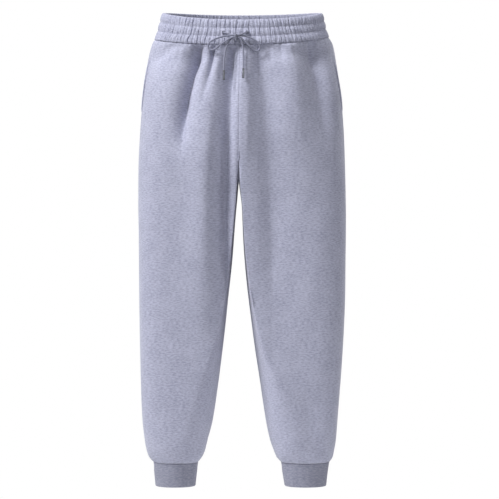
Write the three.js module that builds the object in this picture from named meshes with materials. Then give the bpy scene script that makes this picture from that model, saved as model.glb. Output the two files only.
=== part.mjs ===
// Jogger sweatpants of brushed fleece, filled out as if worn, with nobody in them.
// Millimetres, +Z up, front towards -Y. Left and right are the wearer's, so left is +X.
// The origin is the middle of the waist opening, about halfway up the waistband at the sides.
import * as THREE from "three";

const cloth = { thick: 2.2, seamGap: 0.3 };
const waist = {
  sideTop: 27, // height of the top edge at the side seams
  frontDip: 25.5, // how far the top edge drops from there to the centre front
  backRise: 7, // and how far it climbs to the centre back
  bandHeight: 52,
  bandLean: 2.5, // the band sits this much taller on the right side than the middle
  bandInside: 4.6, // casing with its elastic, from the outer base line inwards
  gathers: 88,
  gatherDepth: 1.5,
};
const body = {
  levelHeight: -120, // from here down the rows of the panels are level
  crotchHeight: -333,
  frontRiseTop: -256, // the centre front seam starts to curve under here
  backRiseTop: -262, // the centre back seam here
  riseCurve: 3.5, // above 2 makes that curve fuller than a quarter of an ellipse
  partTop: -110, // the hip section starts to turn into two legs here
  partLow: -240, // and has done so here
  cornerStart: 0.8, // share of a panel's width where a leg turns in to its inseam
  seamLean: 0.3, // how far the cloth's thickness leans away from the centre seam
  besideSeam: 0.985, // share of the width at which the seam reads its own slope
};
const cuff = { top: -923, hem: -973.5, thick: 3, ribs: 48, ribDepth: 0.8, hemRound: 1.3 };
const pocket = {
  top: -64,
  bottom: -206,
  gape: 3.2, // the slit between the pocket edge and the back panel
  lift: 1.6, // the hemmed edge stands proud of the side
  liftWidth: 0.14, // share of the front panel's width that lifts
  facingThick: 1.2,
  facingBelow: 0.9, // clear space between the panel and the facing under it
  facingFront: 0.12, // how far the facing reaches, as a share of each panel's width
  facingBack: 0.06,
};
const drawcord = {
  diameter: 3.8,
  sides: 8,
  steps: 56,
  eyeletRadius: 3.2,
  eyeletRim: 0.8,
  eyeletTilt: 11, // degrees, with the slope of the band
};
const aglet = { length: 20, radius: 2.3, lip: 0.5 };

const colours = {
  fleece: 0xa3a6bd,
  rib: 0x9295ad,
  cord: 0x9699b0,
  thread: 0x8d90a6,
  metal: 0x5b5d66,
};

// Turns rows of numbers into rows with named columns.
function table(columns, rows) {
  return rows.map((row) => Object.fromEntries(columns.map((name, i) => [name, row[i]])));
}

// Sections from the waistband's top down to the cuffs. out and in are the distances from the middle
// plane to each leg's outer and inner edge, front and back the depths from the sides, and seam the
// centre seam's place. corner is the share of a leg's half width that turns in to the inseam, and
// square is how square the section is, from 2 for an oval.
const sections = table(
  ["z", "outRight", "inRight", "outLeft", "inLeft", "front", "back", "seam", "corner", "square"],
  [
    [40, 160.5, 0, 168, 0, 90, 91, 0, 0.1, 2.25],
    [13, 167, 0, 174.5, 0, 95.6, 94.5, 0, 0.1, 2.25],
    [-12, 173.5, 0, 180.5, 0, 101, 98.3, 0, 0.1, 2.25],
    [-25, 178.5, 0, 187, 0, 103.4, 100.5, 0, 0.1, 2.25],
    [-38, 186.5, 0, 194.3, 0, 106, 104, 0, 0.1, 2.25],
    [-71, 194.9, 0, 200.7, 0, 113, 114, -1, 0.1, 2.25],
    [-114, 201.2, 0, 207.4, 0, 120, 125, -2, 0.1, 2.75],
    [-156, 205.6, 0, 212.8, 0, 124, 133, -2.6, 0.1, 3.0],
    [-220, 210.7, 0, 217.3, 0, 125, 138, -3.2, 0.1, 3.2],
    [-283, 214.2, 0, 219.7, 0, 121, 134, -3.6, 0.08, 3.4],
    [-333, 214.7, 0.4, 221.2, 0.4, 116, 126, -3.6, 0.045, 3.7],
    [-350, 214.6, 2.3, 221.5, 2.2, 114, 121, -3.4, 0.03, 3.8],
    [-377, 214.6, 5.8, 221.8, 5.2, 111, 115, -2.5, 0.025, 4],
    [-411, 214.2, 10.4, 221.9, 5.9, 108.5, 109, -1.2, 0.025, 4.2],
    [-445, 213.8, 14.5, 221.8, 6.1, 106, 104, 0, 0.025, 4.2],
    [-495, 213.5, 18.5, 221.3, 9.3, 102, 98, 0, 0.035, 4.2],
    [-580, 213.1, 26.6, 220.4, 18.1, 96, 91, 0, 0.07, 4.2],
    [-665, 211.8, 35.4, 216.8, 28.1, 88, 86, 0, 0.2, 4.2],
    [-750, 210.1, 45.9, 211.5, 40.8, 79, 82, 0, 0.5, 3.8],
    [-835, 206.8, 58.6, 205.1, 53.6, 67, 76, 0, 0.78, 3],
    [-877, 202.3, 69.6, 201.9, 62.7, 60, 70, 0, 0.92, 2.5],
    [-898, 198.3, 74.9, 198.3, 70.3, 54, 64, 0, 0.96, 2.2],
    [-912, 193, 81.2, 194.7, 76.5, 48.5, 57, 0, 0.99, 2.03],
    [-923, 185, 89, 189, 85.3, 42.5, 49, 0, 1, 2],
    [-945, 183, 92.2, 184.8, 88.8, 40.5, 46, 0, 1, 2],
    [-973.5, 180, 95.3, 181.6, 93.6, 37.5, 42, 0, 1, 2],
  ],
);

// How far the outseam lies in front of the widest line of the side, in degrees.
const outseam = table(
  ["z", "turn"],
  [
    [40, 13],
    [-120, 14],
    [-200, 11],
    [-283, 8],
    [-420, 6],
    [-700, 3],
    [-923, 0],
  ],
);

// Folds that hang from the waist, on the front (1) or back (-1). Each runs through three points, has
// a width to its left and right, and starts to fade at that share of its length. A crisp value near
// 1 makes the bottom sharp, and a depth below 0 makes a ridge.
const folds = table(
  ["face", "x1", "z1", "x2", "z2", "x3", "z3", "left", "right", "depth", "crisp", "fade"],
  [
    [1, -83, -48, -103, -120, -121, -300, 20, 14, 34, 1.3, 0.5],
    [1, -53, -50, -64, -110, -88, -195, 10, 9, 9, 1.5, 0.4],
    [1, -9, -52, -25, -240, -28, -600, 26, 9, 20, 1.7, 0.62],
    [1, -29, -420, -31, -560, -44, -740, 26, 9, 16, 1.7, 0.6],
    [1, -55, -120, -69, -360, -62, -660, 38, 20, -20, 2, 0.45],
    [1, 16, -50, 14, -180, 5, -332, 26, 12, -6, 2, 0.6],
    [1, 106, -60, 112, -150, 122, -310, 52, 22, -7, 2, 0.4],
    [1, -138, -46, -160, -68, -190, -92, 18, 14, 4, 2, 0.5],
    [1, 40, -50, 54, -240, 70, -760, 19, 40, 14, 1.6, 0.3],
    [1, 150, -40, 165, -120, 180, -290, 28, 18, 18, 1.6, 0.3],
    [1, 84, -48, 84, -70, 90, -120, 14, 8, 3, 1.6, 0.3],
    [1, 134, -750, 150, -840, 160, -910, 26, 26, 5, 2, 0.9],
    [-1, -48, -22, -66, -140, -92, -330, 20, 16, 15, 1.8, 0.35],
    [-1, -112, -24, -128, -120, -140, -280, 20, 14, 13, 1.8, 0.35],
    [-1, -70, -420, -104, -560, -96, -700, 28, 28, 8, 2, 0.35],
    [-1, 38, -22, 52, -150, 84, -350, 18, 20, 14, 1.8, 0.35],
    [-1, 104, -24, 124, -110, 148, -290, 15, 20, 13, 1.8, 0.35],
    [-1, 82, -430, 108, -590, 100, -720, 28, 28, 8, 2, 0.35],
  ],
);

const radians = (degrees) => (degrees * Math.PI) / 180;
const mix = (a, b, t) => a + (b - a) * t;
const clamp01 = (t) => Math.min(1, Math.max(0, t));
const smooth = (t) => clamp01(t) ** 2 * (3 - 2 * clamp01(t));

// A smooth curve through one column of a table whose heights run downwards.
function read(rows, z, column) {
  const last = rows.length - 2;
  let i = 0;
  while (i < last && z < rows[i + 1].z) i += 1;
  const slope = (k) => {
    const a = rows[Math.max(k - 1, 0)];
    const b = rows[Math.min(k + 1, rows.length - 1)];
    return (b[column] - a[column]) / (b.z - a.z);
  };
  const [from, to] = [rows[i], rows[i + 1]];
  const span = to.z - from.z;
  const t = (z - from.z) / span;
  const bend = (slope(i) * (1 - t) - slope(i + 1) * t) * span * t * (1 - t);
  const chord = mix(from[column], to[column], t);
  return chord + bend - (to[column] - from[column]) * t * (1 - t) * (1 - 2 * t);
}

// Heights of the waistband's top edge and of the seam under it. turn is the angle from the side:
// 90 degrees is the centre front and -90 the centre back.
function waistTop(turn) {
  const s = -Math.sin(turn);
  const tilt = (waist.frontDip + waist.backRise) / 2;
  const dish = (waist.backRise - waist.frontDip) / 2;
  return waist.sideTop + tilt * s + dish * s * s;
}
function waistSeam(side, turn) {
  return waistTop(turn) - waist.bandHeight + side * waist.bandLean * Math.abs(Math.cos(turn));
}

// How far out and in a side reaches at one height.
function reaches(side, z) {
  const out = read(sections, z, side > 0 ? "outLeft" : "outRight");
  const inner = Math.max(read(sections, z, side > 0 ? "inLeft" : "inRight"), 0);
  return [out, inner];
}

// The centre seam stands a little to one side.
const aside = (x, out, z) => x + read(sections, z, "seam") * (1 - Math.abs(x) / out);

// A point of the hip section: the front half has turn above 0.
function hipPoint(side, turn, z) {
  const power = 2 / read(sections, z, "square");
  const [out] = reaches(side, z);
  const depth = read(sections, z, turn > 0 ? "front" : "back");
  const x = side * out * Math.abs(Math.cos(turn)) ** power;
  const y = -Math.sign(turn) * depth * Math.abs(Math.sin(turn)) ** power;
  return new THREE.Vector3(aside(x, out, z), y, z);
}

// A point of a cuff's oval, which closes at a turn of 180 degrees on the inseam.
function anklePoint(side, turn, z) {
  const [out, inner] = reaches(side, z);
  const depth = read(sections, z, turn > 0 ? "front" : "back");
  const x = side * ((out + inner) / 2 + ((out - inner) / 2) * Math.cos(turn));
  return new THREE.Vector3(x, -depth * Math.sin(turn), z);
}

// How far the cloth stands forward and inward where it turns in to the centre seam and the inseam.
// forward is 1 over the front or back. At the seam it falls to 0 on the way down to the crotch.
function turnIn(face, u, z) {
  const top = face > 0 ? body.frontRiseTop : body.backRiseTop;
  const s = clamp01((top - z) / (top - body.crotchHeight));
  const rise = (1 - s ** body.riseCurve) ** (1 / body.riseCurve);
  const bend = (Math.PI / 2) * clamp01((1 - u) / (1 - body.cornerStart));
  return { forward: mix(rise, 1, Math.sin(bend)), inward: Math.cos(bend) };
}

// The turn at a share of the way from the middle, 0, to the outseam, 1. It runs so that equal shares
// are about equal widths of cloth, however square the section.
function turnAt(face, share, z) {
  const even = share ** (read(sections, z, "square") / 2);
  return mix((face * Math.PI) / 2, radians(read(outseam, z, "turn")), even);
}

// A point of one side below the hip: a rounded outer part, then the corner before the seam.
function legPoint(side, face, u, z) {
  const [out, inner] = reaches(side, z);
  const corner = (read(sections, z, "corner") * (out - inner)) / 2;
  const power = 2 / read(sections, z, "square");
  const turn = turnAt(face, clamp01(1 - u / body.cornerStart), z);
  const depth = read(sections, z, turn > 0 ? "front" : "back");
  const { forward, inward } = turnIn(face, u, z);
  const isOuter = u < body.cornerStart;
  const x = isOuter
    ? inner + corner + (out - inner - corner) * Math.abs(Math.cos(turn)) ** power
    : inner + corner * (1 - inward);
  const y = isOuter
    ? Math.sign(turn) * depth * Math.abs(Math.sin(turn)) ** power
    : face * depth * forward;
  return new THREE.Vector3(aside(side * x, out, z), -y, z);
}

// The smooth cloth of one panel: u runs from the outseam, 0, to the centre seam and inseam, 1.
function plainCloth(side, face, u, z) {
  const turn = turnAt(face, 1 - u, z);
  const parted = smooth((body.partTop - z) / (body.partTop - body.partLow));
  return hipPoint(side, turn, z).lerp(legPoint(side, face, u, z), parted);
}

// The direction straight out of the smooth cloth.
function outward(side, face, u, z) {
  const step = { u: 0.01, z: 1.5 };
  const across = plainCloth(side, face, Math.min(u + step.u, 1), z).sub(
    plainCloth(side, face, Math.max(u - step.u, 0), z),
  );
  const down = plainCloth(side, face, u, z - step.z).sub(plainCloth(side, face, u, z + step.z));
  return across.cross(down).multiplyScalar(side * face).normalize();
}

// The same along the centre seam and the inseam, where left and right cloth lie against each other.
function outwardOnSeam(side, face, z) {
  if (z <= body.crotchHeight) return new THREE.Vector3(-side, 0, 0);
  const normal = outward(side, face, body.besideSeam, z);
  normal.x = -side * Math.max(Math.abs(normal.x), body.seamLean);
  return normal.normalize();
}

// The depth of all folds at one place of a panel. Folds that hang from the waist seam start at half
// their width and depth, and the others from nothing.
function foldDepth(face, x, z) {
  let depth = 0;
  for (const f of folds) {
    if (f.face !== face || z < f.z3) continue;
    const [a, b, c] = [z - f.z1, z - f.z2, z - f.z3];
    const centre =
      (f.x1 * b * c) / ((f.z1 - f.z2) * (f.z1 - f.z3)) +
      (f.x2 * a * c) / ((f.z2 - f.z1) * (f.z2 - f.z3)) +
      (f.x3 * a * b) / ((f.z3 - f.z1) * (f.z3 - f.z2));
    const along = clamp01((f.z1 - z) / (f.z1 - f.z3));
    const hangs = f.z1 > body.partTop;
    const start = hangs ? mix(0.5, 1, smooth(along * 8)) : smooth(along * 3);
    const width = (x < centre ? f.left : f.right) * (hangs ? start : 1);
    const reach = Math.abs(x - centre) / width;
    const end = 1 - smooth((along - f.fade) / (1 - f.fade));
    depth += f.depth * start * end * Math.exp(-(reach ** f.crisp));
  }
  return depth;
}

// The pocket edge of a front panel: where it gapes and lifts, from 0 at its ends to 1.
function pocketShare(face, z) {
  if (face < 0) return 0;
  const t = (z - pocket.bottom) / (pocket.top - pocket.bottom);
  return t > 0 && t < 1 ? Math.sin(Math.PI * t) ** 0.5 : 0;
}

// The outer cloth of a panel, with its folds, and the direction that its thickness takes.
function wornCloth(side, face, u, z) {
  const point = plainCloth(side, face, u, z);
  const normal = u < 1 ? outward(side, face, u, z) : outwardOnSeam(side, face, z);
  const open = pocketShare(face, z);
  const lift = open * pocket.lift * (1 - smooth(u / pocket.liftWidth));
  const sunk = foldDepth(face, point.x, z) * turnIn(face, u, z).forward;
  const push = u > body.cornerStart ? normal.clone().setX(0).normalize() : normal;
  point.addScaledVector(push, lift - sunk);
  if (u === 0) point.y -= open * pocket.gape * face;
  return { point, normal };
}

// A closed wall from two grids of points, outer and inner, both as rows of columns. around closes
// the rows on themselves. The outer rows may hold several points for each inner one.
function wall(outer, inner, around) {
  const points = [...outer.flat(), ...inner.flat()];
  const base = outer.length * outer[0].length;
  const outerAt = (j, i) => j * outer[0].length + (i % outer[0].length);
  const innerAt = (j, i) => base + j * inner[0].length + (i % inner[0].length);
  const [outerSpans, innerSpans] = [outer, inner].map((g) => g[0].length - (around ? 0 : 1));
  const perInner = outerSpans / innerSpans;
  const faces = [];
  const quad = (a, b, c, d) => faces.push(a, b, c, a, c, d);
  const sheet = (at, rows, spans, flip) => {
    for (let j = 0; j + 1 < rows; j += 1) {
      for (let i = 0; i < spans; i += 1) {
        const corners = [at(j, i), at(j, i + 1), at(j + 1, i + 1), at(j + 1, i)];
        quad(...(flip ? corners.reverse() : corners));
      }
    }
  };
  sheet(outerAt, outer.length, outerSpans, false);
  sheet(innerAt, inner.length, innerSpans, true);
  // The two edges across the rows: each inner point fans out to the outer points beside it.
  for (const [jo, ji, flip] of [
    [0, 0, false],
    [outer.length - 1, inner.length - 1, true],
  ]) {
    const tri = (a, b, c) => faces.push(...(flip ? [a, c, b] : [a, b, c]));
    for (let k = 0; k < innerSpans; k += 1) {
      for (let m = 0; m < perInner; m += 1) {
        const i = k * perInner + m;
        tri(innerAt(ji, k), outerAt(jo, i + 1), outerAt(jo, i));
      }
      tri(innerAt(ji, k), innerAt(ji, k + 1), outerAt(jo, (k + 1) * perInner));
    }
  }
  if (!around) {
    for (let j = 0; j + 1 < outer.length; j += 1) {
      quad(outerAt(j, 0), outerAt(j + 1, 0), innerAt(j + 1, 0), innerAt(j, 0));
      const [o, n] = [outerSpans, innerSpans];
      quad(outerAt(j + 1, o), outerAt(j, o), innerAt(j, n), innerAt(j + 1, n));
    }
  }
  const geometry = new THREE.BufferGeometry().setFromPoints(points);
  geometry.setIndex(faces);
  return facingOut(geometry);
}

// Turns every face round if the geometry is inside out.
function facingOut(geometry) {
  const { index, attributes } = geometry;
  const [a, b, c] = [0, 1, 2].map(() => new THREE.Vector3());
  let volume = 0;
  for (let i = 0; i < index.count; i += 3) {
    [a, b, c].forEach((p, k) => p.fromBufferAttribute(attributes.position, index.getX(i + k)));
    volume += a.dot(b.cross(c));
  }
  if (volume < 0) index.array.reverse();
  geometry.computeVertexNormals();
  return geometry;
}

const garment = new THREE.Group();
function addPiece(name, geometry, colour, metalness = 0) {
  const roughness = metalness ? 0.35 : 0.95;
  const mesh = new THREE.Mesh(
    geometry,
    new THREE.MeshStandardMaterial({ color: colour, roughness, metalness }),
  );
  mesh.name = name;
  garment.add(mesh);
  return mesh;
}

// Rows of a panel: the first follow the waist seam, as shares of the way down to where rows are level.
const seamRows = [0, 0.14, 0.34, 0.62];
const levelRows = {
  front: [
    -120, -150, -185, -220, -250, -280, -300, -315, -325, -331, -333, -350, -380, -420, -470, -530, -600,
    -680, -760, -830, -870, -895, -912,
  ],
  back: [
    -120, -160, -205, -245, -280, -300, -315, -325, -331, -333, -352, -395, -460, -560, -670, -770, -840,
    -880, -901, -914,
  ],
};

// Columns of a panel: over its broad part and over the corner beside the inseam.
const columns = { front: { broad: 20, corner: 5 }, back: { broad: 12, corner: 3 } };

// One leg panel, from the waist seam to the cuff seam and from the outseam to the inseam.
function legPanel(side, face) {
  const halfGap = cloth.seamGap / 2;
  const level = face > 0 ? levelRows.front : levelRows.back;
  const { broad, corner } = face > 0 ? columns.front : columns.back;
  const outer = [];
  const inner = [];
  const rows = [...seamRows, ...level, cuff.top + halfGap];
  rows.forEach((row, j) => {
    const lines = [[], []];
    for (let i = 0; i <= broad + corner; i += 1) {
      const inCorner = (i - broad) / corner;
      const u = i < broad ? (body.cornerStart * i) / broad : mix(body.cornerStart, 1, inCorner);
      const top = waistSeam(side, turnAt(face, 1 - u, 0)) - halfGap;
      const z = j < seamRows.length ? mix(top, body.levelHeight, row) : row;
      const { point, normal } = wornCloth(side, face, u, z);
      if (i === 0) normal.y = 0;
      if (j === 0 || j === rows.length - 1) {
        normal.z = 0;
        point.z = z;
      }
      normal.normalize();
      point.x += side * halfGap;
      point.y -= face * halfGap;
      lines[0].push(point);
      lines[1].push(point.clone().addScaledVector(normal, -cloth.thick));
    }
    outer.push(lines[0]);
    inner.push(lines[1]);
  });
  return wall(outer, inner, false);
}

// The strip behind a pocket opening, which shows in the slit beside the pocket edge.
function pocketFacing(side) {
  const spans = { rows: 6, front: 3 };
  const below = cloth.thick + pocket.facingBelow;
  const [outer, inner] = [[], []];
  for (let j = 0; j <= spans.rows; j += 1) {
    const z = mix(pocket.top + 12, pocket.bottom - 12, j / spans.rows);
    const places = [[-1, pocket.facingBack]];
    for (let i = 0; i <= spans.front; i += 1) places.push([1, (pocket.facingFront * i) / spans.front]);
    const pairs = places.map(([face, u]) => {
      const point = plainCloth(side, face, u, z);
      const normal = outward(side, face, Math.max(u, 0.01), z);
      const under = below + Math.max(foldDepth(face, point.x, z), 0);
      return [
        point.clone().addScaledVector(normal, -under),
        point.clone().addScaledVector(normal, -under - pocket.facingThick),
      ];
    });
    outer.push(pairs.map((pair) => pair[0]));
    inner.push(pairs.map((pair) => pair[1]));
  }
  return wall(outer, inner, false);
}

// The waistband's rows, from the seam up: height share, how far the channel puffs out, and how
// strong the gathers are. The two stitch lines, at a third and two thirds, draw it in.
const bandRows = table(
  ["share", "puff", "gather"],
  [
    [0, 0.6, 0.6],
    [0.17, 2.3, 1],
    [0.33, 0.7, 0.5],
    [0.5, 2.5, 1],
    [0.67, 0.7, 0.5],
    [0.84, 2.2, 1],
    [1, 0.6, 0.7],
  ],
);

// A point round the waistband and its level outward direction. around runs from 0 to 1.
function bandPoint(around, share) {
  const turn = around * 2 * Math.PI;
  const place = (t) => {
    const side = Math.cos(t) >= 0 ? 1 : -1;
    const own = Math.asin(Math.sin(t));
    const z = mix(waistSeam(side, own) + cloth.seamGap / 2, waistTop(own), share);
    return hipPoint(side, own, z);
  };
  const step = 0.004;
  const along = place(turn + step).sub(place(turn - step));
  const normal = new THREE.Vector3(-along.y, along.x, 0).normalize();
  const point = place(turn);
  if (normal.dot(new THREE.Vector3(point.x, point.y, 0)) < 0) normal.negate();
  return { point, normal };
}

function waistband() {
  const wave = [-1, 0.35, 0.35]; // a narrow groove and a broad rounded rib
  const outer = bandRows.map((row) => {
    const ring = [];
    for (let k = 0; k < waist.gathers; k += 1) {
      const uneven = 1 + 0.25 * Math.sin(k * 2.4) + 0.15 * Math.sin(k * 5.1 + row.share * 6);
      wave.forEach((height, m) => {
        const { point, normal } = bandPoint((k + m / wave.length) / waist.gathers, row.share);
        const ripple = waist.gatherDepth * row.gather * uneven * height;
        ring.push(point.addScaledVector(normal, row.puff + ripple));
      });
    }
    return ring;
  });
  const inner = [0, 1].map((share) =>
    Array.from({ length: waist.gathers }, (_, k) => {
      const { point, normal } = bandPoint(k / waist.gathers, share);
      return point.addScaledVector(normal, -waist.bandInside);
    }),
  );
  return wall(outer, inner, true);
}

// One ribbed cuff: a tube with a zigzag of ribs outside and a plain inside.
function ribCuff(side) {
  const perRib = 2;
  const halfGap = cloth.seamGap / 2;
  const rows = table(
    ["z", "inset"],
    [
      [cuff.top - halfGap, 0.8],
      [mix(cuff.top, cuff.hem, 0.5), 0],
      [cuff.hem + cuff.hemRound, 0],
      [cuff.hem, cuff.hemRound],
    ],
  );
  const place = (around, z, inset) => {
    const turn = around * 2 * Math.PI;
    const own = turn > Math.PI ? turn - 2 * Math.PI : turn;
    const point = anklePoint(side, own, z);
    const centre = anklePoint(side, 0, z).add(anklePoint(side, Math.PI, z)).multiplyScalar(0.5);
    const spoke = point.clone().sub(centre).normalize();
    return point.addScaledVector(spoke, -inset);
  };
  const outer = rows.map((row) =>
    Array.from({ length: cuff.ribs * perRib }, (_, i) =>
      place(i / (cuff.ribs * perRib), row.z, row.inset + (i % perRib) * cuff.ribDepth),
    ),
  );
  const inner = [rows[0], rows[rows.length - 1]].map((row) =>
    Array.from({ length: cuff.ribs }, (_, i) => place(i / cuff.ribs, row.z, cuff.thick)),
  );
  return wall(outer, inner, true);
}

// The two ends of the drawstring, from their eyelets through the bow to the tips.
// Each crosses behind the knot, makes the loop on the far side, comes back and hangs down.
const cordRoutes = {
  right: [
    [-34, -107.1, -26],
    [-33.2, -112, -26.6],
    [-27, -115.4, -29],
    [-19, -116.4, -32.4],
    [-10, -116.4, -33.2],
    [-1, -116.2, -33.4],
    [10, -115.7, -34.4],
    [21, -115.6, -37.8],
    [31, -115.2, -43],
    [38.5, -115.2, -50],
    [41, -114, -58.5],
    [35.5, -113, -65],
    [26.5, -114.2, -62.5],
    [17.5, -116.6, -54],
    [8, -117.6, -44.4],
    [-1, -116.6, -37.8],
    [-10, -116.4, -37.4],
    [-17, -116.8, -38.8],
    [-22, -117.8, -44],
    [-27, -118.6, -54],
    [-31, -119.6, -68],
    [-33, -121.2, -86],
    [-33.4, -123, -105],
  ],
  left: [
    [14, -108, -26],
    [13.2, -113, -26.6],
    [8, -117.4, -28.5],
    [0, -120.2, -32],
    [-10, -120.6, -33.2],
    [-20, -120.2, -33.4],
    [-31, -118, -34.4],
    [-43, -116, -37.4],
    [-54, -114.6, -41.2],
    [-63, -113.4, -47.5],
    [-66, -112.4, -56],
    [-60.5, -112.8, -62.5],
    [-51, -115.4, -60.5],
    [-42, -118.8, -53],
    [-31, -120.8, -46],
    [-20, -121, -39.3],
    [-10, -120.6, -37.4],
    [-3, -120.8, -38.6],
    [2, -120.8, -43.5],
    [5, -121.2, -54],
    [6.4, -123, -70],
    [6.8, -126, -88],
    [6.6, -128.6, -102],
  ],
};
const knot = { centre: [-10, -118.5, -35.3], ringRadius: 7.3 };

function cordTube(route) {
  const points = route.map((p) => new THREE.Vector3(...p));
  const radius = drawcord.diameter / 2;
  const ring = Array.from({ length: drawcord.sides }, (_, i) => {
    const turn = (i / drawcord.sides) * 2 * Math.PI;
    return new THREE.Vector2(radius * Math.cos(turn), radius * Math.sin(turn));
  });
  return new THREE.ExtrudeGeometry(new THREE.Shape(ring), {
    extrudePath: new THREE.CatmullRomCurve3(points, false, "centripetal"),
    steps: drawcord.steps,
    bevelEnabled: false,
  });
}

// A crimped metal tip, turned about its own axis, with its mouth at the origin and its end below.
function metalTip() {
  const { length, radius, lip } = aglet;
  const profile = [
    [0, -length],
    [radius - lip, -length],
    [radius, -length + lip],
    [radius, -lip],
    [radius - lip, 0],
    [0, 0],
  ];
  return new THREE.LatheGeometry(profile.map((p) => new THREE.Vector2(...p)), 12);
}

function addDrawstring() {
  for (const [name, route] of Object.entries(cordRoutes)) {
    addPiece(`drawcord_${name}`, cordTube(route), colours.cord);
    const [start, end, before] = [route[0], route[route.length - 1], route[route.length - 2]];
    const down = new THREE.Vector3(...end).sub(new THREE.Vector3(...before)).normalize();
    const tip = addPiece(`aglet_${name}`, metalTip(), colours.metal, 1);
    tip.quaternion.setFromUnitVectors(new THREE.Vector3(0, -1, 0), down);
    tip.position.set(...end).addScaledVector(down, cloth.seamGap);
    const eyelet = new THREE.TorusGeometry(drawcord.eyeletRadius, drawcord.eyeletRim, 6, 16);
    const ring = addPiece(`eyelet_${name}`, eyelet, colours.thread);
    ring.rotation.x = radians(90 - drawcord.eyeletTilt);
    ring.position.set(...start);
  }
  const wrap = new THREE.TorusGeometry(knot.ringRadius, drawcord.diameter / 2, drawcord.sides, 16);
  const ring = addPiece("bow_knot", wrap, colours.cord);
  ring.rotation.y = Math.PI / 2;
  ring.position.set(...knot.centre);
}

const sides = { right: -1, left: 1 };
for (const [name, side] of Object.entries(sides)) {
  addPiece(`front_${name}`, legPanel(side, 1), colours.fleece);
  addPiece(`back_${name}`, legPanel(side, -1), colours.fleece);
  addPiece(`pocket_facing_${name}`, pocketFacing(side), colours.fleece);
  addPiece(`cuff_${name}`, ribCuff(side), colours.rib);
}
addPiece("waistband", waistband(), colours.fleece);
addDrawstring();

export default garment;
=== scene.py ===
import math

import bmesh
import bpy
import numpy as np
from mathutils import Matrix, Vector


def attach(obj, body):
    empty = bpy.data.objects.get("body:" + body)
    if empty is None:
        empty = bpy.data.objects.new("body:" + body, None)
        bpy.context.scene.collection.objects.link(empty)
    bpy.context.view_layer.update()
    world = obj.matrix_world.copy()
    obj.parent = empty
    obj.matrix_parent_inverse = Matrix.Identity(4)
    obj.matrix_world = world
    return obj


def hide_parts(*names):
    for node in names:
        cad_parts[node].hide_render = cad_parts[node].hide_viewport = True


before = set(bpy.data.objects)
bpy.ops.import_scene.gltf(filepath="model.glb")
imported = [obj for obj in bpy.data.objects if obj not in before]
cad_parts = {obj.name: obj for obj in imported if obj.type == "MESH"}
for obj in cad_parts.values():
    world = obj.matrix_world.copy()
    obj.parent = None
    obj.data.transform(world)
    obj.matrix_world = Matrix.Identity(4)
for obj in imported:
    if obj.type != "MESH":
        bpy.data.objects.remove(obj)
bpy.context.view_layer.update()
scene = bpy.context.scene
mm = 0.001
fine = 1  # share of the full mesh density
sides = {"right": -1, "left": 1}  # the wearer's, so left is +X


# Camera and light.
studio = {
    "middle": (0.0191, -0.4732), "distance": 3.8, "spanAtWaist": 1.058,  # metres
    "floorDrop": 0.27, "floorRadius": 1.65,
}
lamps = {  # place, watts, width
    "key": ((-3.1, -1.7, 3.0), 285, 1.5),
    "front": ((0.2, -3.9, 1.1), 37, 2.4),
    "right": ((2.9, -1.4, 0.9), 26, 1.5),
    "top": ((-0.2, -0.6, 2.3), 20, 1.2),
    "rearLeft": ((-2.2, 2.8, 1.4), 34, 1.6),
    "rearRight": ((2.4, 2.6, 1.4), 60, 1.6),
}


def aim(obj, target):
    direction = Vector(target) - obj.location
    obj.rotation_euler = direction.to_track_quat("-Z", "Y").to_euler()


def setUpStudio():
    scene.view_settings.view_transform = "Standard"
    x, z = studio["middle"]
    camera = bpy.data.objects.new("camera", bpy.data.cameras.new("camera"))
    camera.location = (x, -studio["distance"], z)
    camera.rotation_euler = (math.pi / 2, 0, 0)
    camera.data.lens = camera.data.sensor_width * studio["distance"] / studio["spanAtWaist"]
    scene.collection.objects.link(camera)
    scene.camera = camera
    for name, (place, watts, width) in lamps.items():
        light = bpy.data.lights.new(name, "AREA")
        light.energy, light.size = watts, width
        lamp = bpy.data.objects.new(name, light)
        lamp.location = place
        aim(lamp, (0, 0, -0.42))
        lamp.visible_camera = False
        scene.collection.objects.link(lamp)
    world = bpy.data.worlds.new("studio")
    world.use_nodes = True
    scene.world = world
    world.node_tree.nodes["Background"].inputs["Color"].default_value = (1, 1, 1, 1)
    world.cycles_visibility.diffuse = False  # a white backdrop that the lamps alone light


class Wire:  # a socket that plain sums turn into Math nodes
    def __init__(self, finish, socket):
        self.finish, self.socket = finish, socket

    def math(self, operation, a, b=0.0):
        return self.finish.node("Math", {"operation": operation}, {0: a, 1: b})

    def __add__(self, other):
        return self.math("ADD", self, other)

    def __sub__(self, other):
        return self.math("SUBTRACT", self, other)

    def __rsub__(self, other):
        return self.math("SUBTRACT", other, self)

    def __mul__(self, other):
        return self.math("MULTIPLY", self, other)

    def __pow__(self, other):
        return self.math("POWER", self, other)

    def sine(self):
        return self.math("SINE", self)

    def size(self):
        return self.math("ABSOLUTE", self)

    def most(self, other):
        return self.math("MAXIMUM", self, other)

    __radd__, __rmul__ = __add__, __mul__


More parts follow.
